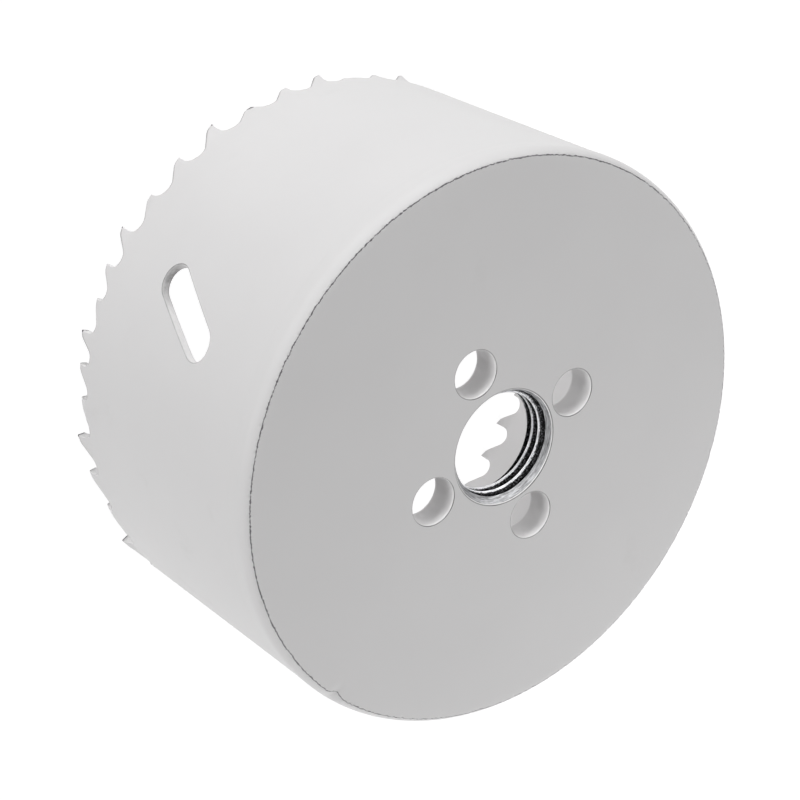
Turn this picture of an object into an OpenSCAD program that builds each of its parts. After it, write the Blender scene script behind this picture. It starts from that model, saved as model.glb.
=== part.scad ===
// Hole saw: a rolled and toothed steel cup under a round end cap with a threaded arbor hole.
// Millimetres. The axis is Z, the tooth tips stand on z = 0 and the cap faces up.

/* [Cup] */
// Height from the tooth tips to the cap's outer face
cup_h = 43.3; // [36:0.1:60]
// Outer diameter of the rolled wall
wall_d = 81.9; // [60:0.1:120]
// Thickness of the rolled wall
wall_t = 1.15; // [0.8:0.05:2]

/* [Teeth] */
// Number of teeth round the cup, a multiple of three
tooth_n = 45; // [36:3:60]
// Angle of the first tooth tip
tooth_start = -44.7; // [-180:0.1:180]
// Largest shift of a tip from even spacing, in degrees, that makes the pitch grow and shrink
pitch_swing = 2.4; // [0:0.1:3]
// How many times the pitch grows and shrinks round the cup
pitch_waves = 4; // [1:1:6]
// Angle at which the pitch waves begin
pitch_phase = -202; // [-360:1:360]
// Slow drift of the tips once round the cup, in degrees
pitch_drift = 1.1; // [0:0.1:2]
// Angle at which the slow drift is largest
drift_phase = -48; // [-180:1:180]
// Depth of a gullet as a share of its pitch
gullet_depth = 0.5; // [0.4:0.01:0.6]
// Radius of a gullet's root as a share of its pitch
gullet_round = 0.27; // [0.2:0.01:0.3]
// Slope of the tooth's back beside the tip
relief_angle = 20; // [10:1:30]
// Slope of the tooth's back above the relief
back_angle = 47; // [40:1:55]
// Width of the flat on each tip
tip_land = 0.2; // [0.1:0.05:0.4]
// How far the set bends a tip outwards or inwards
tooth_set = 0.55; // [0:0.05:1]
// Height of the line where the set begins, as a share of the shallowest gullet
set_share = 0.82; // [0.6:0.02:0.86]

/* [Slots] */
// Number of slanted slots through the wall
slot_n = 2; // [1:1:4]
// Width of a slot
slot_w = 5; // [3:0.1:8]
// Length of a slot from end to end
slot_l = 16; // [10:0.1:24]
// Lean of a slot away from the cup's axis
slot_lean = 29.5; // [0:0.5:45]
// Angle of the first slot round the cup
slot_start = 37.2; // [-180:0.1:180]
// Height of the slots' middle above the tooth tips
slot_z = 21.2; // [15:0.1:26]

/* [End cap] */
// Height of the cap's rim, from the seam to the outer face
rim_h = 3.7; // [2.5:0.1:6]
// How far the rim stands out past the wall
rim_proud = 0.1; // [0.05:0.05:0.5]
// Radius of the dressed corner between the rim and the outer face
corner_r = 2.4; // [1:0.1:2.5]
// How far the dressed corner draws the outer face in
corner_in = 0.85; // [0.2:0.05:0.9]
// Depth of the spigot that centres the cap in the cup
spigot_h = 0.6; // [0.3:0.1:2]
// Gap between the spigot and the wall, on the radius
spigot_gap = 0.03; // [0.01:0.01:0.1]

/* [Arbor holes] */
// Bore at the crests of the arbor thread
thread_bore = 14.5; // [10:0.1:16]
// Diameter of the countersink at the outer face
sink_d = 16.8; // [16.4:0.1:18]
// Diameter of the pitch circle of the drive-pin holes
pin_circle = 25.4; // [25:0.1:32]
// Diameter of a drive-pin hole
pin_d = 7; // [4:0.1:7.5]
// Number of drive-pin holes
pin_n = 4; // [2:1:4]

/* [Hidden] */
wall_r = wall_d / 2;
bore_r = wall_r - wall_t;
rim_r = wall_r + rim_proud;
seam_z = cup_h - rim_h;
cap_bottom = seam_z - spigot_h;
corner_h = sqrt(corner_r * corner_r - (corner_r - corner_in) * (corner_r - corner_in));
sink_h = (sink_d - thread_bore) / 2;
// how far a cutting tool runs past the face that it cuts
over = 1;
// how far a tooth's blank reaches up into the wall, as a share of the shallowest gullet
key_share = 0.12;
// how far a blank's flat sides lie inside the round wall where they meet it
flat_in = 0.05;
// gap left beside a blank, inside the gullets that are cut there anyway
blank_gap = 0.15;
// how far a gullet's cutter reaches inwards and outwards from the bore
gullet_reach = 3 * wall_t;
// straight steps that make up a gullet's round root
root_steps = 8;
white_paint = [0.86, 0.86, 0.85];

// angle of tip k: even spacing, waves of wider and narrower pitch, and a slow drift
function tip_angle(k) =
    let (even = 360 * k / tooth_n)
    tooth_start + even
    + pitch_swing * sin(pitch_waves * even + pitch_phase)
    + pitch_drift * cos(even - drift_phase);

// turn from tip k to the next one, which is the first one again after the last
function tip_step(k) =
    k < tooth_n - 1 ? tip_angle(k + 1) - tip_angle(k) : tip_angle(0) + 360 - tip_angle(k);

// straight distance from tip k to the next one
function tip_pitch(k) = 2 * wall_r * sin(tip_step(k) / 2);

shallowest = gullet_depth * min([for (k = [0 : tooth_n - 1]) tip_pitch(k)]);
set_h = set_share * shallowest;
blank_key = key_share * shallowest;

// outline of one gullet: tip flat, relief, back, round root, and the upright face of the next tooth
module gullet_outline(pitch) {
    root_r = gullet_round * pitch;
    root_x = pitch - root_r;
    root_z = gullet_depth * pitch - root_r;
    back_x = root_x - root_r * sin(back_angle);
    back_z = root_z + root_r * cos(back_angle);
    rise = tan(back_angle) - tan(relief_angle);
    knee_x = (tan(back_angle) * back_x - back_z - tan(relief_angle) * tip_land) / rise;
    knee_z = (knee_x - tip_land) * tan(relief_angle);
    turn = 90 + back_angle;
    polygon(concat(
        [[tip_land, -over], [tip_land, 0], [knee_x, knee_z]],
        [for (i = [0 : root_steps])
            let (a = turn * (1 - i / root_steps)) [root_x + root_r * cos(a), root_z + root_r * sin(a)]],
        [[pitch, -over]]
    ));
}

// cutter for the gullet between tip k and the next tip
module gullet(k) {
    rotate([0, 0, tip_angle(k) + tip_step(k) / 2 + 90])
        translate([-tip_pitch(k) / 2, -bore_r + gullet_reach, 0])
            rotate([90, 0, 0])
                linear_extrude(height = 2 * gullet_reach) gullet_outline(tip_pitch(k));
}

// blank of tooth k, from gullet root to gullet root, bent outwards, straight or inwards by turns
module tooth_blank(k) {
    before = gullet_round * tip_pitch(k == 0 ? tooth_n - 1 : k - 1);
    after = (1 - gullet_round) * tip_pitch(k);
    bend = tooth_set * (1 - k % 3);
    rotate([0, 0, tip_angle(k) + (after - before) / 2 / wall_r * 180 / PI])
        translate([0, (before + after) / 2 - blank_gap, 0])
            rotate([90, 0, 0])
                linear_extrude(height = before + after - 2 * blank_gap)
                    polygon([
                        [bore_r + bend, 0], [wall_r + bend, 0], [wall_r - flat_in, set_h],
                        [wall_r - wall_t / 4, set_h + blank_key], [bore_r + wall_t / 4, set_h + blank_key],
                        [bore_r + flat_in, set_h]
                    ]);
}

// straight wall above the line where the set begins
module wall_tube() {
    rotate_extrude($fn = 180)
        translate([bore_r, set_h]) square([wall_t, seam_z - set_h]);
}

// one slanted slot with round ends
module slot() {
    half = (slot_l - slot_w) / 2;
    translate([bore_r - over, 0, slot_z])
        rotate([-slot_lean, 0, 0]) {
            translate([0, -slot_w / 2, -half]) cube([wall_t + 2 * over, slot_w, 2 * half]);
            for (z = [-half, half])
                translate([0, 0, z]) rotate([0, 90, 0]) cylinder(d = slot_w, h = wall_t + 2 * over, $fn = 48);
        }
}

// rolled cup: wall, set teeth and slots are one strip of steel
module cup() {
    color(white_paint)
    difference() {
        union() {
            wall_tube();
            for (k = [0 : tooth_n - 1]) tooth_blank(k);
        }
        for (k = [0 : tooth_n - 1]) gullet(k);
        for (k = [0 : slot_n - 1]) rotate([0, 0, slot_start + 360 * k / slot_n]) slot();
    }
}

// half section of the cap's rim with its dressed corner
module rim_section() {
    intersection() {
        square([rim_r, rim_h]);
        union() {
            square([rim_r, rim_h - corner_h]);
            square([rim_r - corner_r, rim_h]);
            translate([rim_r - corner_r, rim_h - corner_h]) circle(r = corner_r, $fn = 96);
        }
    }
}

// end cap: rim, spigot, threaded arbor hole and drive-pin holes
module end_cap() {
    color(white_paint)
    difference() {
        union() {
            translate([0, 0, seam_z]) rotate_extrude($fn = 180) rim_section();
            translate([0, 0, cap_bottom])
                cylinder(r = bore_r - spigot_gap, h = spigot_h + over, $fn = 180);
        }
        translate([0, 0, cap_bottom - over])
            cylinder(d = thread_bore, h = rim_h + spigot_h + 2 * over, $fn = 96);
        translate([0, 0, cup_h - sink_h])
            cylinder(d1 = thread_bore, d2 = sink_d, h = sink_h, $fn = 96);
        for (k = [0 : pin_n - 1])
            rotate([0, 0, 360 * k / pin_n])
                translate([pin_circle / 2, 0, cap_bottom - over])
                    cylinder(d = pin_d, h = rim_h + spigot_h + 2 * over, $fn = 64);
    }
}

end_cap();
cup();
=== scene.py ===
"""Hole saw: a rolled, toothed and white-painted steel cup under a round end cap.

The packed solids give the frame. This file dresses them: the cup and the end cap are
built again with rounded edges, a cut thread, worn corners and a painted finish.
"""

import math
import random

import bmesh
import bpy
import numpy as np
from bpy.props import FloatProperty, FloatVectorProperty, IntProperty, PointerProperty
from mathutils.geometry import delaunay_2d_cdt
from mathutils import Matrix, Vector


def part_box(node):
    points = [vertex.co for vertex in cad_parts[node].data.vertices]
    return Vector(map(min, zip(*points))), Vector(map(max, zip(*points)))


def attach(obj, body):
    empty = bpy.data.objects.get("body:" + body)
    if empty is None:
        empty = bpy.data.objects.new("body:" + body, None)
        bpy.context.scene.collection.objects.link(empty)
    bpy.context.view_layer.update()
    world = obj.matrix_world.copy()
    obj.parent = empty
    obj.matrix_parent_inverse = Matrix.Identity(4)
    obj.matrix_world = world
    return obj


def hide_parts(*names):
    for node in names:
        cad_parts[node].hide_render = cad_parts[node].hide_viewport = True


bl_info = {
    "name": "Hole saw",
    "version": (1, 0, 0),
    "blender": (4, 5, 0),
    "location": "View3D > Sidebar > Hole saw",
    "description": "Builds a white-painted hole saw around its packed solids",
    "category": "Object",
}

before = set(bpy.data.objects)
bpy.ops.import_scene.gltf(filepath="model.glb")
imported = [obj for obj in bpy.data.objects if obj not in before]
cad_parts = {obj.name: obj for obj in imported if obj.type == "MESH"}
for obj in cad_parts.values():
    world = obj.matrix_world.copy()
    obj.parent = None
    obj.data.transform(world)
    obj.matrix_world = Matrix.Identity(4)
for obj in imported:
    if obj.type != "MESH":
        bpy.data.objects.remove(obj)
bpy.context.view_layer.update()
CUP_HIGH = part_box("cup")[1]
CAP_LOW, CAP_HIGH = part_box("end_cap")

MM = 0.001
BODY = "root"
TURN = 2 * math.pi
LENGTH = {"unit": "LENGTH", "precision": 5}
# The rim stays this far inside the solids' box
BOX_GAP = 0.004 * MM
RIM = min(CAP_HIGH.x, CAP_HIGH.y, -CAP_LOW.x, -CAP_LOW.y) - BOX_GAP


# Sizes and colours that a user would change


class HoleSawCup(bpy.types.PropertyGroup):
    """Sizes of the rolled cup."""

    wall_radius: FloatProperty(
        name="Wall radius", description="Outer radius of the wall", default=40.95 * MM, **LENGTH)
    wall: FloatProperty(name="Wall", description="Thickness of the wall", default=1.15 * MM, **LENGTH)
    seam_height: FloatProperty(
        name="Seam height", description="Height of the wall's upper edge", default=CUP_HIGH.z, **LENGTH)
    edge_radius: FloatProperty(
        name="Edge radius", description="Radius of the paint over the wall's cut edges",
        default=0.16 * MM, **LENGTH)
    slot_lip: FloatProperty(
        name="Slot lip", description="Radius of the drawn-in lip round a slot", default=0.14 * MM, **LENGTH)
    slots: IntProperty(name="Slots", description="Number of slanted slots", default=2, min=1, max=4)
    slot_width: FloatProperty(name="Slot width", description="Width of a slot", default=5 * MM, **LENGTH)
    slot_length: FloatProperty(
        name="Slot length", description="Length of a slot from end to end", default=16 * MM, **LENGTH)
    slot_lean: FloatProperty(
        name="Slot lean", description="Lean of a slot away from the axis",
        default=math.radians(29.5), subtype="ANGLE")
    slot_angle: FloatProperty(
        name="Slot angle", description="Angle of the first slot round the cup",
        default=math.radians(37.2), subtype="ANGLE")
    slot_height: FloatProperty(
        name="Slot height", description="Height of the slots' middle", default=21.2 * MM, **LENGTH)


class HoleSawTeeth(bpy.types.PropertyGroup):
    """Pitch, shape and set of the teeth."""

    count: IntProperty(name="Teeth", description="Number of teeth", default=45, min=36, max=60)
    first: FloatProperty(
        name="First tip", description="Angle of the first tip", default=math.radians(-44.7), subtype="ANGLE")
    swing: FloatProperty(
        name="Pitch swing", description="Largest shift of a tip from even spacing",
        default=math.radians(2.4), subtype="ANGLE")
    waves: IntProperty(name="Pitch waves", description="Waves of wide and narrow pitch", default=4, min=1)
    phase: FloatProperty(
        name="Pitch phase", description="Angle at which the waves begin",
        default=math.radians(-202), subtype="ANGLE")
    drift: FloatProperty(
        name="Pitch drift", description="Slow drift of the tips once round",
        default=math.radians(1.1), subtype="ANGLE")
    drift_phase: FloatProperty(
        name="Drift phase", description="Angle at which the drift is largest",
        default=math.radians(-48), subtype="ANGLE")
    depth: FloatProperty(name="Gullet depth", description="Depth as a share of the pitch", default=0.5)
    root: FloatProperty(name="Gullet root", description="Root radius as a share of the pitch", default=0.27)
    relief: FloatProperty(
        name="Relief", description="Slope of the back beside the tip",
        default=math.radians(20), subtype="ANGLE")
    back: FloatProperty(
        name="Back", description="Slope of the back above the relief",
        default=math.radians(47), subtype="ANGLE")
    land: FloatProperty(name="Land", description="Flat on each tip", default=0.2 * MM, **LENGTH)
    set_out: FloatProperty(
        name="Set", description="How far a tip is bent outwards or inwards", default=0.55 * MM, **LENGTH)
    set_height: FloatProperty(
        name="Set height", description="Height of the line where the set begins",
        default=2.1 * MM, **LENGTH)


class HoleSawCap(bpy.types.PropertyGroup):
    """Sizes of the end cap and its holes."""

    rim_radius: FloatProperty(
        name="Rim radius", description="Outer radius of the rim", default=RIM, **LENGTH)
    face_radius: FloatProperty(
        name="Face radius", description="Radius of the flat outer face", default=RIM - 0.85 * MM, **LENGTH)
    corner_radius: FloatProperty(
        name="Corner radius", description="Radius of the dressed corner", default=2.4 * MM, **LENGTH)
    spigot_radius: FloatProperty(
        name="Spigot radius", description="Radius of the spigot inside the cup",
        default=39.77 * MM, **LENGTH)
    thread_bore: FloatProperty(
        name="Thread bore", description="Radius at the thread's crests", default=7.25 * MM, **LENGTH)
    thread_depth: FloatProperty(
        name="Thread depth", description="Depth of the thread's groove", default=0.69 * MM, **LENGTH)
    thread_pitch: FloatProperty(
        name="Thread pitch", description="Rise of the thread in one turn", default=1.411 * MM, **LENGTH)
    thread_start: FloatProperty(
        name="Thread start", description="Where the thread starts, as a share of a turn", default=0.342)
    sink_radius: FloatProperty(
        name="Countersink radius", description="Radius of the countersink at the face",
        default=8.29 * MM, **LENGTH)
    sink_depth: FloatProperty(
        name="Countersink depth", description="Depth of the countersink", default=1.3 * MM, **LENGTH)
    sink_shift: FloatVectorProperty(
        name="Countersink shift", description="How far the countersink stands off the thread's axis",
        default=(-0.222 * MM, -0.06 * MM), size=2, subtype="TRANSLATION")
    pins: IntProperty(name="Pin holes", description="Number of drive-pin holes", default=4, min=2, max=4)
    pin_radius: FloatProperty(
        name="Pin hole radius", description="Radius of a drive-pin hole", default=3.41 * MM, **LENGTH)
    pin_circle: FloatProperty(
        name="Pin circle", description="Radius of the circle of drive-pin holes",
        default=12.7 * MM, **LENGTH)
    nick_angle: FloatProperty(
        name="Nick angle", description="Angle of the nick in the corner",
        default=math.radians(113.8), subtype="ANGLE")
    nick_depth: FloatProperty(
        name="Nick depth", description="Depth of the nick", default=0.74 * MM, **LENGTH)


class HoleSawFinish(bpy.types.PropertyGroup):
    """Colours and gloss."""

    paint: FloatVectorProperty(
        name="Paint", description="Colour of the white paint",
        default=(0.776, 0.768, 0.77), size=3, subtype="COLOR", min=0, max=1)
    paint_roughness: FloatProperty(name="Paint roughness", description="Roughness of the paint", default=0.3)
    steel: FloatVectorProperty(
        name="Turned steel", description="Colour of the bare turned steel",
        default=(0.34, 0.342, 0.352), size=3, subtype="COLOR", min=0, max=1)
    chip: FloatVectorProperty(
        name="Chipped steel", description="Colour of the dark steel under chipped paint",
        default=(0.125, 0.118, 0.13), size=3, subtype="COLOR", min=0, max=1)


class HoleSawStage(bpy.types.PropertyGroup):
    """Camera, floor and lamps."""

    camera_place: FloatVectorProperty(
        name="Camera place", description="Where the camera stands",
        default=(0.18563, 0.10899, 0.25899), size=3, subtype="TRANSLATION")
    camera_turn: FloatVectorProperty(
        name="Camera turn", description="How the camera is turned",
        default=(math.radians(-24.0415), math.radians(-35.7782), math.radians(-112.748)),
        size=3, subtype="EULER")
    lens: FloatProperty(name="Lens", description="Focal length for a 36 mm frame", default=102.036)
    shift: FloatVectorProperty(
        name="Shift", description="Shift of the lens", default=(-0.00232, 0.00661), size=2)
    floor: FloatProperty(name="Floor", description="Side of the floor", default=4.0, unit="LENGTH")
    floor_glow: FloatProperty(
        name="Floor glow", description="Light that the white floor gives", default=0.12)
    under_glow: FloatProperty(
        name="Under glow", description="Light that comes up under the saw", default=0.85)
    sky: FloatProperty(name="Sky", description="Light from above", default=0.02)
    lamps: FloatProperty(name="Lamps", description="Level of all the softboxes", default=1.0, min=0)


# Node trees


def fill(tree, node, sockets):
    """Fills a node's inputs with values or with links."""
    for name, value in sockets.items():
        if isinstance(value, bpy.types.NodeSocket):
            tree.links.new(value, node.inputs[name])
        else:
            node.inputs[name].default_value = value
    return node


def plug(tree, kind, settings=None, sockets=None):
    """Adds a node with its settings and inputs."""
    made = tree.nodes.new(kind)
    for name, value in (settings or {}).items():
        setattr(made, name, value)
    return fill(tree, made, sockets or {})


def maths(tree, operation, *values):
    """Adds one maths node and returns its result."""
    return plug(tree, "ShaderNodeMath", {"operation": operation}, dict(enumerate(values))).outputs[0]


def times(tree, one, other):
    """Multiplies two values."""
    return maths(tree, "MULTIPLY", one, other)


def minus(tree, one, other):
    """Takes the second value from the first."""
    return maths(tree, "SUBTRACT", one, other)


def vector(tree, operation, *values):
    """Adds one vector maths node and returns its outputs."""
    return plug(tree, "ShaderNodeVectorMath", {"operation": operation}, dict(enumerate(values))).outputs


def scaled(tree, colour, share):
    """Makes a colour lighter or darker."""
    return plug(tree, "ShaderNodeVectorMath", {"operation": "SCALE"}, {
        0: colour, "Scale": share}).outputs[0]


def along(tree, where, way):
    """How far a point lies along a direction."""
    return vector(tree, "DOT_PRODUCT", where, way)["Value"]


def from_axis(tree, where):
    """Distance of a point from the saw's axis."""
    return vector(tree, "LENGTH", vector(tree, "MULTIPLY", where, (1, 1, 0))[0])["Value"]


def split(tree, where):
    """The three coordinates of a point."""
    return list(plug(tree, "ShaderNodeSeparateXYZ", sockets={0: where}).outputs)


def joined(tree, x, y, z):
    """The point with three coordinates."""
    return plug(tree, "ShaderNodeCombineXYZ", sockets={0: x, 1: y, 2: z}).outputs[0]


def ramp(tree, value, low, high, low_out=0.0, high_out=1.0, smooth=False):
    """Maps a value from one range to another, held at the ends."""
    kind = "SMOOTHSTEP" if smooth else "LINEAR"
    return plug(tree, "ShaderNodeMapRange", {"interpolation_type": kind, "clamp": True}, {
        "Value": value, "From Min": low, "From Max": high,
        "To Min": low_out, "To Max": high_out}).outputs["Result"]


def blend(tree, factor, low, high):
    """Mixes two colours."""
    return plug(tree, "ShaderNodeMix", {"data_type": "RGBA", "clamp_factor": True}, {
        0: factor, 6: low, 7: high}).outputs[2]


def noise(tree, where, scale, detail=2.0, rough=0.5):
    """Adds a noise texture and returns its value."""
    return plug(tree, "ShaderNodeTexNoise", {"noise_dimensions": "3D"}, {
        "Vector": where, "Scale": scale, "Detail": detail, "Roughness": rough}).outputs["Fac"]


def on_piece(tree):
    """Where a point lies on its piece."""
    return plug(tree, "ShaderNodeTexCoord").outputs["Object"]


# Kinds of the sockets that hold more than a plain number
SOCKETS = {"Colour": "NodeSocketColor", "Geometry": "NodeSocketGeometry", "Material": "NodeSocketMaterial"}


def new_tree(kind, name, inputs, outputs):
    """Starts a node tree, and returns it with its named inputs and its output node."""
    tree = bpy.data.node_groups.new(name, kind)

    def add_socket(label, way):
        holds = SOCKETS.get(label, "NodeSocketFloat")
        return tree.interface.new_socket(name=label, in_out=way, socket_type=holds)

    for label, default in inputs.items():
        socket = add_socket(label, "INPUT")
        if default is not None:
            socket.default_value = default
    for label in outputs:
        add_socket(label, "OUTPUT")
    return tree, tree.nodes.new("NodeGroupInput").outputs, tree.nodes.new("NodeGroupOutput")


# Shared effects

SURFACE = ("Colour", "Roughness", "Height")
# Colour of the rubbed smears on the paint
GRIME = (0.5, 0.49, 0.47, 1)
# Scale of the fine rings that turning leaves on steel
TURNED_RINGS = 5800.0


def place_group(tree, name, maker, sockets):
    """Places a shared effect, which is built once, with a material's own values."""
    shared = bpy.data.node_groups.get(name) or maker()
    return plug(tree, "ShaderNodeGroup", {"node_tree": shared}, sockets).outputs


def paint_group():
    """Brushed-out white paint: faint clouds, rubbed grey smears and a soft orange peel."""
    tree, source, result = new_tree("ShaderNodeTree", "white_paint_coat", {
        "Colour": (0.8, 0.8, 0.8, 1), "Gloss": 0.3, "Smears": 0.3}, SURFACE)
    where = on_piece(tree)
    clouds = noise(tree, where, 55.0, 3.0)
    smears = ramp(tree, noise(tree, where, 130.0, 6.0, 0.62), 0.56, 0.74, smooth=True)
    patches = ramp(tree, noise(tree, where, 28.0, 1.0), 0.5, 0.68, smooth=True)
    grime = times(tree, times(tree, smears, patches), source["Smears"])
    tinted = scaled(tree, source["Colour"], ramp(tree, clouds, 0.3, 0.7, 0.985, 1.012))
    rougher = maths(tree, "MULTIPLY_ADD", clouds, 0.1, source["Gloss"])
    fill(tree, result, {
        "Colour": blend(tree, grime, tinted, GRIME),
        "Roughness": maths(tree, "MULTIPLY_ADD", grime, 0.2, rougher),
        "Height": noise(tree, where, 620.0, 2.0)})
    return tree


def steel_group():
    """Bare steel: fine rings left by turning, with darker and lighter streaks."""
    tree, source, result = new_tree("ShaderNodeTree", "bare_turned_steel", {
        "Colour": (0.4, 0.4, 0.4, 1), "Streaks": 0.5}, SURFACE)
    where = on_piece(tree)
    x, y, z = split(tree, where)
    turned = joined(
        tree, times(tree, from_axis(tree, where), TURNED_RINGS), times(tree, z, TURNED_RINGS),
        times(tree, maths(tree, "ARCTAN2", y, x), 6.0))
    rings = noise(tree, turned, 1.0, 3.0, 0.6)
    shade = maths(tree, "MULTIPLY_ADD", minus(tree, rings, 0.5), source["Streaks"], 1.0)
    fill(tree, result, {
        "Colour": scaled(tree, source["Colour"], shade),
        "Roughness": ramp(tree, rings, 0.3, 0.7, 0.3, 0.5),
        "Height": rings})
    return tree


def chip_group():
    """Mask of paint worn off an edge: a line of uneven width that wanders along the edge."""
    tree, source, result = new_tree("ShaderNodeTree", "chipped_edge", {
        "Distance": 0.0, "Width": 0.1, "Wander": 0.05}, ("Mask",))
    where = on_piece(tree)
    wander = times(tree, minus(tree, noise(tree, where, 1200.0, 4.0, 0.75), 0.5), source["Wander"])
    far = maths(tree, "ABSOLUTE", maths(tree, "ADD", source["Distance"], wander))
    ragged = ramp(tree, noise(tree, where, 2200.0, 4.0, 0.7), 0.32, 0.68, 0.15, 1.9)
    reach = times(tree, source["Width"], ragged)
    fill(tree, result, {"Mask": ramp(tree, minus(tree, reach, far), -0.03, 0.03)})
    return tree


# Materials

# Colours of the thread's groove: oily black, and the grey dust that lies in it; the dust thins towards the
# root, whose extra black is partly painted shade
GROOVE_BLACK = (0.002, 0.002, 0.002, 1)
GROOVE_DUST = (0.15, 0.15, 0.16, 1)
# Side on which the cap's corner is worn most, and side on which its countersink gets a painted glint
WORN_SIDE = (0.94, 0.34, 0.0)
PAINTED_GLINT_SIDE = (-0.966, 0.259, 0.0)


def start_material(name, finish, smears):
    """Starts a material with its paint and returns it, its tree, the shader and the paint."""
    made = bpy.data.materials.new(name)
    made.use_nodes = True
    tree = made.node_tree
    paint = place_group(tree, "white_paint_coat", paint_group, {
        "Colour": (*finish.paint, 1), "Gloss": finish.paint_roughness, "Smears": smears})
    return made, tree, fill(tree, tree.nodes["Principled BSDF"], {"IOR": 1.5}), paint


def attribute(tree, name):
    """Reads a value that the mesh carries."""
    settings = {"attribute_type": "GEOMETRY", "attribute_name": name}
    return plug(tree, "ShaderNodeAttribute", settings).outputs["Fac"]


def grazing(tree):
    """How far a point is seen at a grazing angle, where the paint is less glossy."""
    facing = plug(tree, "ShaderNodeLayerWeight", sockets={"Blend": 0.5}).outputs["Facing"]
    return ramp(tree, facing, 0.83, 1.0)


def bump(tree, strength, height):
    """The normal of a surface with fine relief."""
    return plug(tree, "ShaderNodeBump", sockets={
        "Strength": strength, "Distance": 0.2 * MM, "Height": height}).outputs["Normal"]


def cup_material(finish):
    """White paint on the cup, thin on the cut edges and worn off some tips, with painted shade and painted
    light in streaks on the slots' sides and the teeth's upright faces.
    """
    made, tree, shader, paint = start_material("white_painted_cup", finish, 0.12)
    steel = place_group(tree, "bare_turned_steel", steel_group, {
        "Colour": (*finish.chip, 1), "Streaks": 1.2})
    where = on_piece(tree)
    ragged = noise(tree, where, 1800.0, 3.0, 0.6)
    bare = ramp(tree, maths(tree, "MULTIPLY_ADD", ragged, 0.5, attribute(tree, "worn")), 0.72, 0.84)
    stretched = vector(tree, "MULTIPLY", where, (1, 1, 0.2))[0]
    marks = ramp(tree, noise(tree, stretched, 2400.0, 2.0), 0.38, 0.62, 0.2, 0.42)
    # The 'cut' value is painted shade at the slots' ends and painted light on the slots' sides and the
    # teeth's upright faces, broken into streaks
    cut = maths(tree, "MAXIMUM", times(tree, attribute(tree, "cut"), marks), -0.22)
    uneven = ramp(tree, noise(tree, where, 700.0, 2.0), 0.3, 0.7, 0.5, 0.8)
    line = times(tree, attribute(tree, "edge"), uneven)
    kept = times(tree, minus(tree, 1.0, cut), minus(tree, 1.0, line))
    # The gloss fades at grazing angles on the wall, and stays on the teeth
    turned_away = times(tree, grazing(tree), ramp(tree, split(tree, where)[2], 2.5 * MM, 6 * MM))
    fill(tree, shader, {
        "Base Color": blend(tree, bare, scaled(tree, paint["Colour"], kept), steel["Colour"]),
        "Metallic": bare,
        "Roughness": ramp(tree, bare, 0.0, 1.0, paint["Roughness"], 0.45),
        "Specular IOR Level": ramp(tree, turned_away, 0.0, 1.0, 0.5, 0.0),
        "Normal": bump(tree, 0.05, paint["Height"])})
    return made


def cap_material(finish, cap):
    """White paint on the cap, chipped at its corner, over a bare turned thread, with painted highlights on
    the thread, the countersink and the holes' mouths and painted shade down the pin holes.
    """
    made, tree, shader, paint = start_material("white_painted_cap", finish, 0.1)
    where = on_piece(tree)
    width = ramp(
        tree, along(tree, where, WORN_SIDE), -0.4 * cap.rim_radius, 0.3 * cap.rim_radius, 0.04, 0.075)
    chip = place_group(tree, "chipped_edge", chip_group, {
        "Distance": attribute(tree, "rim"), "Wander": 0.45, "Width": width})
    steel = place_group(tree, "bare_turned_steel", steel_group, {
        "Colour": (*finish.steel, 1), "Streaks": 3.2})
    bare = attribute(tree, "bare")
    groove = attribute(tree, "groove")

    # The thread: crests brightened with a painted highlight, and a black, dusty groove
    grain = noise(tree, where, 4200.0, 2.0)
    dark = ramp(tree, maths(tree, "MULTIPLY_ADD", minus(tree, grain, 0.5), 0.5, groove), 0.08, 0.26)
    # Less dust towards the root: the blacker root is partly painted shade
    dust = times(tree, ramp(tree, grain, 0.5, 0.64), ramp(tree, groove, 0.55, 0.95, 1.0, 0.15))
    soot = blend(tree, dust, GROOVE_BLACK, GROOVE_DUST)
    # Painted highlight: the countersink's steel is up to 1.7 times brighter towards one side
    glint = ramp(tree, along(tree, where, PAINTED_GLINT_SIDE), 0.5 * cap.sink_radius, cap.sink_radius, 1.0, 1.7)
    # Painted highlight: the steel on the crests is made up to three times brighter
    crest_highlight = ramp(tree, attribute(tree, "crest_highlight"), 0.1, 0.9, 1.0, 3.0)
    highlit_steel = scaled(tree, steel["Colour"], times(tree, glint, crest_highlight))
    threaded = blend(tree, dark, highlit_steel, soot)

    # The paint: grey lines round the holes, painted highlights just inside their mouths, painted shade down
    # the pin holes, and chips along the corner
    uneven = ramp(tree, noise(tree, where, 260.0, 2.0), 0.4, 0.6, -0.55, -0.9)
    # A positive lip mark darkens the paint, a negative one lightens it as a painted highlight
    lines_and_highlights = maths(tree, "MULTIPLY_ADD", attribute(tree, "lip"), uneven, 1.0)
    coat = blend(tree, chip["Mask"], scaled(tree, paint["Colour"], lines_and_highlights), (*finish.chip, 1))

    shine = ramp(tree, times(tree, dark, bare), 0.0, 1.0, 0.5, 0.04)
    fill(tree, shader, {
        "Base Color": blend(tree, bare, coat, threaded),
        "Metallic": times(tree, minus(tree, 1.0, dark), times(tree, bare, 0.3)),
        "Roughness": blend(tree, bare, paint["Roughness"], steel["Roughness"]),
        "Specular IOR Level": times(tree, shine, ramp(tree, grazing(tree), 0.0, 1.0, 1.0, 0.0)),
        "Normal": bump(tree, 0.12, maths(
            tree, "MULTIPLY_ADD", steel["Height"], bare, times(tree, paint["Height"], 0.4)))})
    return made


# Geometry node trees

# How much later than in a straight line the set bends a tooth
SET_CURVE = 1.15
# How far out of the bore the crests' painted highlight still reaches
CREST_REACH = 0.06 * MM
# Points nearer than this are one point
WELD = 1e-6


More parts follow.
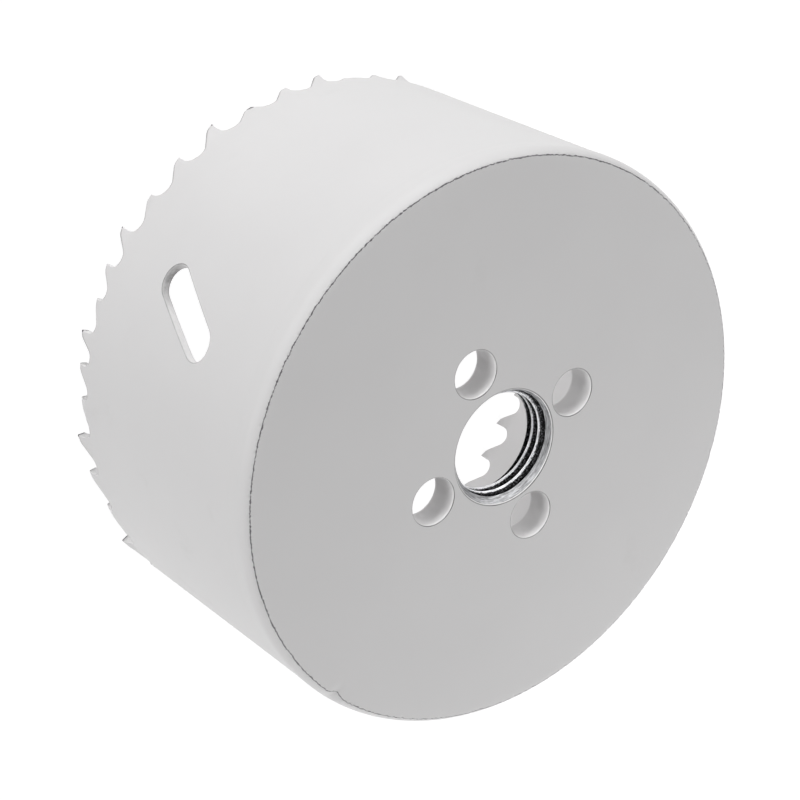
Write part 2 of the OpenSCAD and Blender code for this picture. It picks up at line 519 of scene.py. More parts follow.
def geometry_tree(name, *sizes):
    """Starts a geometry tree with its sizes and its material as inputs."""
    return new_tree("GeometryNodeTree", name, dict.fromkeys(("Geometry", *sizes, "Material")), ("Geometry",))


def end_tree(tree, geometry, place, source, result):
    """Ends a tree: moved into place, welded, without instances, in its material."""
    moved = plug(tree, "GeometryNodeSetPosition", sockets={"Geometry": geometry, "Position": place})
    welded = plug(tree, "GeometryNodeMergeByDistance", sockets={
        "Geometry": moved.outputs[0], "Distance": WELD})
    real = plug(tree, "GeometryNodeRealizeInstances", sockets={"Geometry": welded.outputs[0]})
    dressed = plug(tree, "GeometryNodeSetMaterial", sockets={
        "Geometry": real.outputs[0], "Material": source["Material"]})
    fill(tree, result, {0: dressed.outputs[0]})
    return tree


def named_value(tree, name):
    """Reads a value that the mesh carries."""
    return plug(tree, "GeometryNodeInputNamedAttribute", {"data_type": "FLOAT"}, {
        "Name": name}).outputs["Attribute"]


def store_value(tree, geometry, name, value):
    """Lets the mesh carry a value."""
    return plug(tree, "GeometryNodeStoreNamedAttribute", {"data_type": "FLOAT", "domain": "POINT"}, {
        "Geometry": geometry, "Name": name, "Value": value}).outputs[0]


def roll_tree():
    """Rolls a flat toothed strip into a cup and sets its teeth: X runs round, Y is depth, Z is height."""
    tree, source, result = geometry_tree("roll_toothed_strip", "Radius", "Set height")
    x, y, z = split(tree, plug(tree, "GeometryNodeInputPosition").outputs[0])
    angle = maths(tree, "DIVIDE", x, source["Radius"])
    below = maths(tree, "DIVIDE", minus(tree, source["Set height"], z), source["Set height"])
    share = maths(tree, "POWER", maths(tree, "MAXIMUM", below, 0.0), SET_CURVE)
    lean = times(tree, named_value(tree, "bend"), share)
    radial = maths(tree, "ADD", maths(tree, "ADD", source["Radius"], y), lean)
    turned = [times(tree, maths(tree, way, angle), radial) for way in ("COSINE", "SINE")]
    return end_tree(tree, source["Geometry"], joined(tree, *turned, z), source, result)


def thread_tree():
    """Cuts a helical thread into the bore and marks each point's depth in the groove and the crests."""
    tree, source, result = geometry_tree("cut_arbor_thread", "Bore", "Depth", "Pitch", "Start")
    place = plug(tree, "GeometryNodeInputPosition").outputs[0]
    x, y, z = split(tree, place)
    radius = from_axis(tree, place)
    turn = maths(tree, "DIVIDE", maths(tree, "ARCTAN2", y, x), TURN)
    climb = minus(tree, minus(tree, maths(tree, "DIVIDE", z, source["Pitch"]), turn), source["Start"])
    wave = maths(tree, "ABSOLUTE", maths(tree, "MULTIPLY_ADD", maths(tree, "FRACT", climb), 2.0, -1.0))
    sunk = times(tree, ramp(tree, wave, 0.16, 0.84), source["Depth"])
    wanted = maths(tree, "ADD", source["Bore"], sunk)
    cut = minus(tree, maths(tree, "MAXIMUM", radius, wanted), radius)
    final = maths(tree, "MULTIPLY_ADD", cut, named_value(tree, "threaded"), radius)
    groove = maths(tree, "DIVIDE", minus(tree, final, radius), source["Depth"])
    off_crest = maths(tree, "DIVIDE", minus(tree, radius, wanted), CREST_REACH)
    # How near a point lies to the thread's crests, for their painted highlight
    crest_highlight = plug(tree, "ShaderNodeMath", {"operation": "SUBTRACT", "use_clamp": True}, {0: 1.0, 1: off_crest})
    marked = store_value(tree, source["Geometry"], "groove", groove)
    marked = store_value(tree, marked, "crest_highlight", crest_highlight.outputs[0])
    share = maths(tree, "DIVIDE", final, radius)
    cut_place = joined(tree, times(tree, x, share), times(tree, y, share), z)
    return end_tree(tree, marked, cut_place, source, result)


def run_tree(piece, tree, values):
    """Runs a geometry tree on a piece and keeps the plain mesh that comes out."""
    modifier = piece.modifiers.new(tree.name, "NODES")
    modifier.node_group = tree
    for item in tree.interface.items_tree:
        if item.in_out == "INPUT" and item.name in values:
            modifier[item.identifier] = values[item.name]
    bpy.context.view_layer.update()
    graph = bpy.context.evaluated_depsgraph_get()
    result = bpy.data.meshes.new_from_object(piece.evaluated_get(graph))
    result.name = piece.name
    piece.modifiers.clear()
    old = piece.data
    piece.data = result
    bpy.data.meshes.remove(old)


# Mesh helpers


def fill_face(points, loops):
    """Triangles that fill the first loop around the other loops, all of them against the clock."""
    flat = [tuple(p) for p in points]
    _, _, faces, vert_ids, _, face_ids = delaunay_2d_cdt(flat, [], loops, 1, 1e-9)
    if any(len(ids) == 0 for ids in vert_ids):
        raise RuntimeError("the edge loops of a face cross each other")
    index = [ids[0] for ids in vert_ids]
    return [[index[v] for v in face] for face, ids in zip(faces, face_ids) if list(ids) == [0]]


def inward(points, closed_step=None):
    """Mitred inward directions of a loop whose material lies on its left."""
    following = np.roll(points, -1, axis=0)
    before = np.roll(points, 1, axis=0)
    if closed_step is not None:
        following[-1] = points[0] + closed_step
        before[0] = points[-1] - closed_step
    ahead = following - points
    behind = points - before
    ahead /= np.linalg.norm(ahead, axis=1)[:, None]
    behind /= np.linalg.norm(behind, axis=1)[:, None]
    left_a = np.column_stack([-ahead[:, 1], ahead[:, 0]])
    left_b = np.column_stack([-behind[:, 1], behind[:, 0]])
    share = 1 + (left_a * left_b).sum(axis=1)
    return (left_a + left_b) / share[:, None]


def edge_rings(depth, outer_round, inner_round, guard, steps=4):
    """Inset, depth and edge mark of the rings that lead a cut edge from the outer skin to the inner."""
    rings = [(outer_round + guard, 0.0, 0.0)]
    for i in range(steps + 1):
        a = math.pi / 2 * i / steps
        mark = min(1.0, 1.7 * math.sin(math.pi * i / steps))
        rings.append((outer_round * (1 - math.sin(a)), -outer_round * (1 - math.cos(a)), mark))
    rings.append((0.0, -outer_round - 0.08 * MM, 0.0))
    rings.append((0.0, -depth + inner_round + 0.1 * MM, 0.0))
    for i in range(steps + 1):
        a = math.pi / 2 * (1 - i / steps)
        mark = math.cos(math.pi / 2 * i / steps)
        rings.append((inner_round * (1 - math.sin(a)), -depth + inner_round * (1 - math.cos(a)), mark))
    rings.append((inner_round + guard, -depth, 0.0))
    return rings


def tapered_rings(depth, taper, guard):
    """Rings of a punched edge: a crisp outer edge, a flank that narrows inwards and a sharp inner edge."""
    rings = [(taper + guard, 0.0, 0.0), (taper + 0.1 * MM, 0.0, 0.15), (taper + 0.04 * MM, 0.0, 0.95)]
    rings += [(taper, -0.012 * MM, 1.0), (taper - 0.05 * MM, -0.06 * MM, 0.25)]
    for s in (0.12, 0.22, 0.34, 0.46, 0.58, 0.7, 0.8):
        rings.append((taper * (1 - s) ** 1.7 * 0.9, -depth * s, 0.0))
    rings += [(0.0, -0.88 * depth, 0.45), (0.01 * MM, -depth + 0.05 * MM, 0.55)]
    rings += [(0.07 * MM, -depth, 0.4), (0.07 * MM + guard, -depth, 0.0)]
    return rings


def clear_of(points, loops, gap, keep):
    """Keeps the points that lie in the material, further from every loop than the gap."""
    good = np.array([keep(x, z) for x, z in points])
    points = points[good]
    for loop, step in loops:
        a = loop
        b = np.roll(loop, -1, axis=0)
        if step is not None:
            b[-1] = loop[0] + step
        span = b - a
        size = (span ** 2).sum(axis=1)
        near = np.full(len(points), 1e9)
        for i in range(len(a)):
            t = np.clip(((points - a[i]) @ span[i]) / size[i], 0, 1)
            near = np.minimum(near, np.linalg.norm(points - a[i] - t[:, None] * span[i], axis=1))
        points = points[near > gap]
    return points


def band(first, size, closed=True):
    """Faces between rings of points that follow each other."""
    faces = []
    for a, b in zip(first, first[1:]):
        for i in range(size if closed else size - 1):
            j = (i + 1) % size
            faces.append((a + i, a + j, b + j, b + i))
    return faces


class Shell:
    """Points, faces and marks of a closed skin while it is being built."""

    def __init__(self, *names):
        self.points = []
        self.faces = []
        self.marks = {name: [] for name in names}

    def add(self, place, *marks):
        """Adds a point with its marks, in the order of their names, and returns its number."""
        self.points.append(place)
        for numbers, mark in zip(self.marks.values(), marks):
            numbers.append(mark)
        return len(self.points) - 1


def add_object(name, data):
    """Puts an object into the scene."""
    made = bpy.data.objects.new(name, data)
    bpy.context.scene.collection.objects.link(made)
    return made


def make_piece(name, points, faces, values):
    """Makes a mesh object whose points carry the given values."""
    mesh = bpy.data.meshes.new(name)
    mesh.from_pydata([tuple(p) for p in points], [], [tuple(f) for f in faces])
    mesh.validate()
    for label, numbers in values.items():
        layer = mesh.attributes.new(label, "FLOAT", "POINT")
        layer.data.foreach_set("value", np.asarray(numbers, np.float32))
    return add_object(name, mesh)


def close_up(piece):
    """Turns the faces outwards, smooths them and checks that the mesh is closed."""
    shape = bmesh.new()
    shape.from_mesh(piece.data)
    bmesh.ops.recalc_face_normals(shape, faces=shape.faces)
    if any(not edge.is_manifold for edge in shape.edges):
        raise RuntimeError(piece.name + " isn't closed")
    if shape.calc_volume(signed=True) < 0:
        bmesh.ops.reverse_faces(shape, faces=shape.faces)
    for face in shape.faces:
        face.smooth = True
    shape.to_mesh(piece.data)
    shape.free()
    piece.data.update()


def settle(piece, node):
    """Ties a finished piece to the body, and lets it stand for its CAD node."""
    close_up(piece)
    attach(piece, BODY)
    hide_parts(node)


# The cup


def tip_angle(teeth, k):
    """Angle of tip k."""
    even = TURN * k / teeth.count
    waves = teeth.swing * math.sin(teeth.waves * even + teeth.phase)
    return teeth.first + even + waves + teeth.drift * math.cos(even - teeth.drift_phase)


# Share of a tooth's relief over which its knee is rounded
KNEE_SHARE = 0.42
# Steps round a knee, a gullet's root, a slot's end and along a slot's side
KNEE_STEPS = 5
ROOT_STEPS = 14
END_STEPS = 24
SIDE_STEPS = 8


def gullet_outline(teeth, pitch):
    """Points from a tip to just before the next: relief, knee, back, round root, upright face."""
    r = teeth.root * pitch
    root_x = pitch - r
    root_z = teeth.depth * pitch - r
    back_x = root_x - r * math.sin(teeth.back)
    back_z = root_z + r * math.cos(teeth.back)
    slope = math.tan(teeth.back)
    rise = math.tan(teeth.relief)
    knee_x = (slope * back_x - back_z - rise * teeth.land) / (slope - rise)
    knee_z = (knee_x - teeth.land) * rise
    bend_in = KNEE_SHARE * knee_x
    start = np.array([knee_x - bend_in, knee_z * (knee_x - bend_in) / knee_x])
    knee = np.array([knee_x, knee_z])
    way = np.array([back_x - knee_x, back_z - knee_z])
    way /= np.linalg.norm(way)
    finish = knee + way * bend_in
    points = [np.array([0.0, 0.0])]
    for i in range(KNEE_STEPS + 1):
        t = i / KNEE_STEPS
        points.append((1 - t) ** 2 * start + 2 * t * (1 - t) * knee + t * t * finish)
    turn = math.pi / 2 + teeth.back
    for i in range(ROOT_STEPS + 1):
        a = turn * (1 - i / ROOT_STEPS)
        points.append(np.array([root_x + r * math.cos(a), root_z + r * math.sin(a)]))
    points.append(np.array([pitch, root_z * 0.55]))
    return np.array(points)


def toothed_edge(cup, teeth):
    """The strip's lower edge from the middle of the first root once round, and where each tooth begins."""
    radius = cup.wall_radius
    tips = [tip_angle(teeth, k) for k in range(teeth.count)]
    tips.append(tips[0] + TURN)
    points = []
    for k in range(teeth.count):
        pitch = (tips[k + 1] - tips[k]) * radius
        outline = gullet_outline(teeth, pitch)
        outline[:, 0] += tips[k] * radius
        points.extend(outline)
    points = np.array(points)
    last = (tips[-1] - tips[-2]) * radius
    cut = tips[-1] * radius - teeth.root * last
    low = int(np.argmin(np.abs(points[:, 0] - cut) + 10 * (points[:, 1] < 0.4 * teeth.depth * last)))
    points[low, 0] = cut
    round_trip = TURN * radius
    moved = points[low:] - np.array([round_trip, 0])
    points = np.vstack([moved, points[:low]])
    roots = [tips[0] * radius - teeth.root * last]
    for k in range(teeth.count - 1):
        roots.append(tips[k + 1] * radius - teeth.root * (tips[k + 1] - tips[k]) * radius)
    return points, np.array(roots)


def slot_outline(cup, k, start):
    """Edge of slot k, with the wall on its left."""
    half = (cup.slot_length - cup.slot_width) / 2
    r = cup.slot_width / 2
    loop_len = TURN * cup.wall_radius
    middle = (cup.slot_angle + TURN * k / cup.slots) * cup.wall_radius
    while middle < start:
        middle += loop_len
    while middle > start + loop_len:
        middle -= loop_len
    points = []
    for i in range(END_STEPS + 1):
        a = math.pi * i / END_STEPS
        points.append((r * math.cos(a), half + r * math.sin(a)))
    for i in range(1, SIDE_STEPS):
        points.append((-r, half - 2 * half * i / SIDE_STEPS))
    for i in range(END_STEPS + 1):
        a = math.pi + math.pi * i / END_STEPS
        points.append((r * math.cos(a), -half + r * math.sin(a)))
    for i in range(1, SIDE_STEPS):
        points.append((r, -half + 2 * half * i / SIDE_STEPS))
    points = np.array(points)[::-1]
    c, s = math.cos(-cup.slot_lean), math.sin(-cup.slot_lean)
    turned = np.column_stack([c * points[:, 0] - s * points[:, 1], s * points[:, 0] + c * points[:, 1]])
    return turned + np.array([middle, cup.slot_height])


# Size of the bare patch on each worn tip, in millimetres
WORN_TIPS = {5: 1.9, 6: 0.5, 12: 0.5, 15: 0.45, 18: 0.4, 3: 0.3, 9: 0.35, 26: 0.5, 33: 0.4, 40: 0.7}
# Least worn mark, far from every worn tip, and the mark on a tip
UNWORN = -3.0
WORN = 1.2
# Columns of points round the wall
COLUMNS = 288
# Width of the flat ring between a rounded edge and the skin
GUARD = 0.16 * MM
# An edge that faces this far along the strip is a tooth's upright face
UPRIGHT = 0.6


def cup_plans(cup, lower, upper, slots, step):
    """Each edge loop of the flat strip, its step round the cup, and its rings."""
    rings = edge_rings(cup.wall, cup.edge_radius, 0.6 * cup.edge_radius, GUARD)
    rings[1:2] = [(cup.edge_radius + 0.07 * MM, 0.0, 0.25), (cup.edge_radius, 0.0, 0.4)]
    slot_rings = tapered_rings(cup.wall, cup.slot_lip, GUARD)
    # The upper edge is hidden in the weld, so it is nearly sharp and has no line
    top_rings = edge_rings(cup.wall, 0.02 * MM, 0.05 * MM, 0.03 * MM, 2)
    top_rings = [(inset, depth, 0.0) for inset, depth, _ in top_rings]
    return [(lower, step, rings), (upper, -step, top_rings)] + [(slot, None, slot_rings) for slot in slots]


def slot_painted_shade_and_line(cup, z, depth, mark):
    """Painted shade and edge line on a slot's side, both strongest at the end by the teeth; further from that
    end the side is lightened with painted light.
    """
    off = (z - cup.slot_height) / cup.slot_length
    line = mark * (0.45 + 0.55 * min(1.0, max(0.0, -4 * off - 0.4)))
    if not -cup.wall < depth < -0.1 * MM:
        return 0.0, line
    # Painted shade at the end by the teeth, painted light along the rest of the side
    return min(-2.6 * depth / cup.wall, 1.1, max(-0.9, -off * 7.5 - 2.3)), line


def tooth_painted_light_and_line(cup, side, depth, mark):
    """Painted light and edge line on the toothed edge: a tooth's upright face is lightened with painted light
    and has no line.
    """
    if side <= UPRIGHT:
        return 0.0, mark
    # Painted light on the upright face
    return -0.7 if -cup.wall < depth < 0 else 0.0, 0.0


def add_edges(strip, cup, plans):
    """Adds the rings that round every edge, and returns each loop's first points and size."""
    starts = []
    for loop, wrap, plan in plans:
        way = inward(loop, wrap)
        first = []
        for inset, depth, mark in plan:
            first.append(len(strip.points))
            for (x, z), side in zip(loop + inset * way, way[:, 0]):
                # Each ring point carries its painted shade or light ('cut') and its edge line
                painted_light_and_line = slot_painted_shade_and_line(cup, z, depth, mark) if wrap is None else tooth_painted_light_and_line(cup, side, depth, mark)
                strip.add((x, depth, z), *painted_light_and_line)
        strip.faces += band(first, len(loop), wrap is None)
        starts.append((first, len(loop)))
    return starts


def close_seam(strip, starts, plans):
    """Copies the first column of both long edges to their other ends, and returns the copies."""
    seams = []
    for (first, size), (_, wrap, _) in zip(starts[:2], plans):
        ends = []
        for a in first:
            x, y, z = strip.points[a]
            ends.append(strip.add((x + wrap[0], y, z), strip.marks["cut"][a], strip.marks["edge"][a]))
        for n in range(len(first) - 1):
            strip.faces.append((first[n] + size - 1, ends[n], ends[n + 1], first[n + 1] + size - 1))
        seams.append(ends)
    return seams


def wall_lattice(cup, lower, slots, step, lattice):
    """The points of a lattice that lie in the wall, clear of its edges."""
    knots_x = np.append(lower[:, 0], lower[0, 0] + step[0])
    knots_z = np.append(lower[:, 1], lower[0, 1])
    half = (cup.slot_length - cup.slot_width) / 2
    s, c = math.sin(cup.slot_lean), math.cos(cup.slot_lean)

    def inside(x, z):
        if z < np.interp(x, knots_x, knots_z):
            return False
        for slot in slots:
            off_x, off_z = (x, z) - slot.mean(axis=0)
            beyond = max(0.0, abs(off_x * s + off_z * c) - half)
            if math.hypot(beyond, off_x * c - off_z * s) < cup.slot_width / 2:
                return False
        return True

    loops = [(lower, step)] + [(slot, None) for slot in slots]
    return clear_of(np.array(lattice), loops, cup.slot_lip + GUARD + 0.2 * MM, inside)


def add_skins(strip, cup, starts, low_ends, lattice, seam_rows, span):
    """Fills the outer and the inner skin between the edge rings."""
    for side, depth in ((0, 0.0), (-1, -cup.wall)):
        loops = [list(range(first[side], first[side] + size)) for first, size in starts]
        left = [strip.add((span[0], depth, z), 0.0, 0.0) for z in seam_rows]
        right = [strip.add((span[1], depth, z), 0.0, 0.0) for z in seam_rows]
        inner = [strip.add((x, depth, z), 0.0, 0.0) for x, z in lattice]
        far_top = strip.add((span[1], depth, strip.points[loops[1][-1]][2]), 0.0, 0.0)
        outer = loops[0] + [low_ends[side]] + right + [far_top] + loops[1] + left[::-1]
        used = outer + inner + sum(loops[2:], [])
        local = {v: n for n, v in enumerate(used)}
        holes = [loop[::-1] for loop in loops[2:]]
        flat = [(strip.points[v][0], strip.points[v][2]) for v in used]
        for tri in fill_face(flat, [[local[v] for v in loop] for loop in [outer] + holes]):
            tri = tuple(used[v] for v in tri)
            strip.faces.append(tri if side == 0 else tri[::-1])


def tooth_marks(points, teeth, radius, roots):
    """How far each point is bent by the set, and how worn it is."""
    loop_len = TURN * radius
    zone = np.searchsorted(roots, (points[:, 0] - roots[0]) % loop_len + roots[0] + 1e-9, side="right") - 1
    zone = np.clip(zone, 0, teeth.count - 1)
    worn = np.full(len(points), UNWORN)
    for k, amount in WORN_TIPS.items():
        tip = tip_angle(teeth, k) * radius
        off = (points[:, 0] - tip + loop_len / 2) % loop_len - loop_len / 2
        near = WORN - np.hypot(off - 0.1 * MM, points[:, 2]) / (amount * MM)
        worn = np.maximum(worn, np.clip(near, UNWORN, WORN))
    return teeth.set_out * (1 - zone % 3), worn


def build_cup(cup, teeth):
    """The flat toothed strip with rounded edges, as points in arc length, depth and height."""
    step = np.array([TURN * cup.wall_radius, 0.0])
    lower, roots = toothed_edge(cup, teeth)
    start = lower[0, 0]
    xs = start + step[0] * np.arange(COLUMNS) / COLUMNS
    upper = np.column_stack([xs, np.full(COLUMNS, cup.seam_height)])[::-1]
    slots = [slot_outline(cup, k, start) for k in range(cup.slots)]
    plans = cup_plans(cup, lower, upper, slots, step)

    # 'cut' holds painted shade and painted light, 'edge' the line along the cut edges
    strip = Shell("cut", "edge")
    starts = add_edges(strip, cup, plans)
    low_ends = close_seam(strip, starts, plans)[0]
    rows = list(np.arange(0.8, 5.6, 0.8) * MM) + list(np.linspace(6.5 * MM, cup.seam_height - 1.2 * MM, 15))
    lattice = wall_lattice(cup, lower, slots, step, [(x, z) for x in xs[1:] for z in rows])
    seam_rows = [z for z in rows if z > lower[0, 1] + 0.5 * MM]
    add_skins(strip, cup, starts, low_ends, lattice, seam_rows, (start, start + step[0]))

    points = np.array(strip.points)
    bend, worn = tooth_marks(points, teeth, cup.wall_radius, roots)
    return points, strip.faces, {"bend": bend, **strip.marks, "worn": worn}


# The end cap

# Mark of a point that lies far from the cap's corner
NO_RIM = -2.0
# Steps round the outside, the arbor hole and a pin hole, over the corner and down the countersink
CAP_STEPS = 1440
BORE_STEPS = 192
PIN_STEPS = 72
CORNER_STEPS = 12
SINK_STEPS = 24
# Height of a row of points in the thread
THREAD_ROW = 0.045 * MM
# Spacing of the points that fill the face, and how many rows there are each way
GRID_PITCH = 3.2 * MM
GRID_REACH = 14
# Side on which the grey line, the painted highlight and the painted shade round a hole are faint
FAINT_SIDE = math.radians(30)
# Last rows of the outer face: distance from its edge and below the face, and distance to the break
FACE_ROWS = ((2.4, 0, -1), (0.8, 0.012, -0.8), (0.4, 0.024, -0.4), (0.2, 0.035, -0.2), (0.08, 0.045, -0.08))
# Rows of the rim: distance inside its radius and above the seam
RIM_ROWS = ((0, 1.6), (0.02, 0.8), (0.05, 0.25), (0.07, 0.04), (0.073, 0.015), (0.12, 0))
# Rows at the mouth of a hole: distance outside its radius and below the face, and grey mark, where a negative
# mark is a painted highlight along the top of the wall
PIN_MOUTH = (
    (0.3, 0, 0), (0.16, 0, 0), (0.13, 0, 1), (0.03, 0.012, 1), (0.01, 0.04, 0),
    (0, 0.1, -0.15), (0, 0.26, -0.1), (0, 0.5, 0.1))
SINK_MOUTH = ((0.32, 0, 0), (0.2, 0, 0), (0.16, 0, 1), (0.04, 0.01, 1), (0.02, 0.03, 0))
# Small dents along the corner: angle in degrees, depth and width
DENTS = (
    (84, 0.16, 0.8), (98, 0.2, 0.7), (101, 0.14, 0.5), (66, 0.08, 0.6), (20, 0.06, 0.8),
    (-38, 0.08, 0.7), (152, 0.1, 0.9), (231, 0.12, 0.7), (288, 0.07, 0.9))
NICK_WIDTH = 1.1
# Fine jags along the corner: number of waves, their height and how far they reach, in millimetres
JAG_WAVES = 26
JAG_SIZE = 0.03
JAG_REACH = 0.45


def circle(x, y, radius, count):
    """Points round a circle, against the clock."""
    a = TURN * np.arange(count) / count
    return np.column_stack([x + radius * np.cos(a), y + radius * np.sin(a)])


def cap_profile(cap):
    """Radius, height, distance past the break and lip mark of the outside, from the face to the spigot."""
    top, low, seam = CAP_HIGH.z, CAP_LOW.z, CUP_HIGH.z
    rows = [(cap.face_radius - inset * MM, top - drop * MM, past) for inset, drop, past in FACE_ROWS]
    r = cap.corner_radius
    centre = cap.rim_radius - r
    begin = math.acos((cap.face_radius - centre) / r)
    centre_z = top - r * math.sin(begin)
    for i in range(CORNER_STEPS + 1):
        a = begin * (1 - i / CORNER_STEPS)
        drop = 0.05 * MM * (1 - i / CORNER_STEPS) ** 4
        rows.append((centre + r * math.cos(a), centre_z + r * math.sin(a) - drop, r / MM * (begin - a)))
    rim = [(cap.rim_radius - inset * MM, seam + rise * MM) for inset, rise in RIM_ROWS]
    rim += [(cap.spigot_radius + 0.05 * MM, seam), (cap.spigot_radius, seam - 0.05 * MM)]
    rim += [(cap.spigot_radius, low + 0.1 * MM), (cap.spigot_radius - 0.1 * MM, low)]
    rim.append((cap.spigot_radius - 0.6 * MM, low))
    return [(*row, 0) for row in rows] + [(*row, -NO_RIM, 0) for row in rim]


def mouth(radius, rows):
    """Radius, height and grey mark of the rows at a hole's mouth."""
    return [(radius + out * MM, CAP_HIGH.z - drop * MM, lip) for out, drop, lip in rows]


def pin_profile(cap):
    """Radius, height, rim distance and lip mark down one drive-pin hole."""
    top, low, r = CAP_HIGH.z, CAP_LOW.z, cap.pin_radius
    rows = mouth(r, PIN_MOUTH)
    # Painted shade: the paint down the hole's wall is a little darker
    rows += [(r, top + (low - top) * s, 0.2) for s in (0.3, 0.5, 0.7, 0.9)]
    rows += [(r, low + 0.12 * MM, 0), (r + 0.04 * MM, low + 0.03 * MM, 0), (r + 0.14 * MM, low, 0)]
    rows.append((r + 0.3 * MM, low, 0))
    return [(radius, z, NO_RIM, lip) for radius, z, lip in rows]


def bore_profile(cap):
    """Radius, height, rim distance and lip mark down the arbor hole, in fine rows for the thread."""
    top, low, bore = CAP_HIGH.z, CAP_LOW.z, cap.thread_bore
    rows = mouth(cap.sink_radius, SINK_MOUTH)
    cone = cap.sink_radius - bore
    lip_drop = 0.05 * MM
    for i in range(SINK_STEPS + 1):
        s = i / SINK_STEPS
        z = top - lip_drop - (cap.sink_depth - lip_drop) * s
        # A painted highlight along the top of the countersink
        rows.append((cap.sink_radius - cone * s, z, -0.4 if s < 0.06 else 0))
    floor = low + 0.1 * MM
    count = int((z - floor) / THREAD_ROW)
    rows += [(bore, z + (floor - z) * i / count, 0) for i in range(1, count + 1)]
    rows += [(bore + 0.06 * MM, low + 0.03 * MM, 0), (bore + 0.7 * MM, low, 0), (bore + 1.1 * MM, low, 0)]
    return [(radius, z, NO_RIM, lip) for radius, z, lip in rows]


def corner_damage(points, cap):
    """Moves the corner's points for its nick, its dents and the fine jags along it."""
    dice = random.Random(7)
    waves = [(dice.uniform(60, 420), dice.uniform(0, TURN), dice.uniform(0.3, 1.0)) for _ in range(JAG_WAVES)]
    radius = np.hypot(points[:, 0], points[:, 1])
    angle = np.arctan2(points[:, 1], points[:, 0])
    near = np.hypot(radius - cap.face_radius, points[:, 2] - CAP_HIGH.z)
    jag = sum(size * np.sin(np.round(count) * angle + start) for count, start, size in waves)
    jag = np.maximum(jag, 0) * JAG_SIZE * MM * np.clip(1 - near / (JAG_REACH * MM), 0, 1)
    dents = [(cap.nick_angle, cap.nick_depth, NICK_WIDTH)]
    dents += [(math.radians(where), depth * MM, width) for where, depth, width in DENTS]
    for where, depth, width in dents:
        off = (angle - where + math.pi) % TURN - math.pi
        share = np.exp(-((off * cap.rim_radius / (width * MM)) ** 2))
        jag = jag + depth * share * np.clip(1 - near / (2.2 * depth + 0.25 * MM), 0, 1) ** 1.2
    out = points[:, :2] / radius[:, None]
    points[:, :2] -= out * jag[:, None] * 0.75
    points[:, 2] -= jag * 0.6
    return points


def add_rings(plate, cap, middle, profile, count, is_bore=False):
    """Adds the rings of a profile round a middle, and returns their first points and size."""
    first = []
    fade = 0.65 - 0.35 * np.cos(TURN * np.arange(count) / count - FAINT_SIDE)
    for radius, z, rim, lip in profile:
        first.append(len(plate.points))
        x, y = middle
        if is_bore and z > CAP_LOW.z + MM:
            share = min(1.0, (radius - cap.thread_bore) / (cap.sink_radius - cap.thread_bore))
            x += cap.sink_shift[0] * share
            y += cap.sink_shift[1] * share
        bare = float(is_bore and radius < cap.sink_radius - 0.06 * MM)
        threaded = float(is_bore and z < CAP_HIGH.z - 0.3 * MM)
        for (px, py), faint in zip(circle(x, y, radius, count), fade):
            plate.add((px, py, z), bare, threaded, rim, lip * faint)
    plate.faces += band(first, count)
    return first, count


def face_grid(cap, pins):
    """Points that fill the cap's faces between its holes and its edge."""
    grid = []
    steps = range(-GRID_REACH, GRID_REACH + 1)
    for row in steps:
        for column in steps:
            x = (column + 0.5 * (row % 2)) * GRID_PITCH
            y = row * GRID_PITCH * math.sqrt(3) / 2
            near_pin = min(math.hypot(x - px, y - py) for px, py in pins) <= cap.pin_radius + 1.2 * MM
            if 10.5 * MM < math.hypot(x, y) < cap.face_radius - 3.4 * MM and not near_pin:
                grid.append((x, y))
    return grid


def build_cap(cap):
    """The end cap as one closed plate: rings round its outside and down its holes, faces between."""
    turns = [TURN * k / cap.pins for k in range(cap.pins)]
    pins = [(cap.pin_circle * math.cos(a), cap.pin_circle * math.sin(a)) for a in turns]
    plate = Shell("bare", "threaded", "rim", "lip")
    ends = [add_rings(plate, cap, (0, 0), cap_profile(cap), CAP_STEPS)]
    ends.append(add_rings(plate, cap, (0, 0), bore_profile(cap), BORE_STEPS, True))
    ends += [add_rings(plate, cap, pin, pin_profile(cap), PIN_STEPS) for pin in pins]
    grid = face_grid(cap, pins)
    for side, z in ((0, CAP_HIGH.z), (-1, CAP_LOW.z)):
        inner = [plate.add((x, y, z), 0.0, 0.0, NO_RIM, 0.0) for x, y in grid]
        used = []
        loops = []
        for first, count in ends:
            loops.append(list(range(len(used), len(used) + count)))
            used += range(first[side], first[side] + count)
        used += inner
        flat = [plate.points[v][:2] for v in used]
        plate.faces += [tuple(used[v] for v in tri) for tri in fill_face(flat, loops)]
    return corner_damage(np.array(plate.points), cap), plate.faces, plate.marks


# Stage

# What the floor shows the camera of its own, and how grey its cloth is under the lamps
FLOOR_SHOWN = 0.9
FLOOR_CLOTH = (0.25, 0.25, 0.25, 1)
WHITE = (1, 1, 1, 1)
# Height that the lamps are aimed at
LAMP_AIM = 0.02
# Azimuth and elevation in degrees, distance and side in metres, power in watts
SOFTBOXES = {
    "left_softbox": (-60, 20, 1.6, 0.9, 6.75),
    "front_softbox": (-30, 9, 1.6, 0.48, 8.55),
    "right_softbox": (45, 9, 1.6, 0.48, 11.3),
    "far_softbox": (110, 9, 1.6, 0.48, 4.0),
    "high_softbox": (0, 50, 1.6, 0.9, 5.25),
    "back_softbox": (-165, 25, 0.42, 0.2, 0.9),
    "fill_softbox": (150, 25, 0.42, 0.2, 0.28),
}


def empty_tree(owner):
    """The emptied node tree of a material or a world."""
    owner.use_nodes = True
    owner.node_tree.nodes.clear()
    return owner.node_tree


def end_surface(tree, kind, shader):
    """Shows a shader through an output node."""
    plug(tree, kind, sockets={"Surface": shader.outputs[0]})


